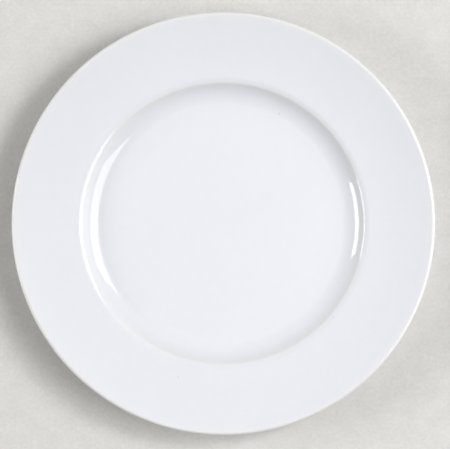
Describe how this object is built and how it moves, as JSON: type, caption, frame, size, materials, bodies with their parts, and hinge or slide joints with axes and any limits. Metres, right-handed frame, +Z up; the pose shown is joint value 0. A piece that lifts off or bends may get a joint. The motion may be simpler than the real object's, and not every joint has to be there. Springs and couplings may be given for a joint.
{
  "type": "bread and butter plate",
  "caption": "Round white porcelain side plate with a broad gently rising rim, a shallow coved well and a bare-edged foot ring, for bread, butter or cake.",
  "frame": {"origin": "on the plate's axis, in the plane of the standing edge of the foot ring", "axes": "+Z up along the plate's axis, out of the well; +X and +Y lie in the plane that the plate stands on"},
  "size_m": [0.16, 0.16, 0.0148],
  "materials": {
    "bare_porcelain": "matte",
    "white_glaze": "polished"
  },
  "bodies": {
    "root": {"plate_body": "bare_porcelain", "glaze_coat": "white_glaze", "base_glaze": "white_glaze"}
  },
  "joints": []
}
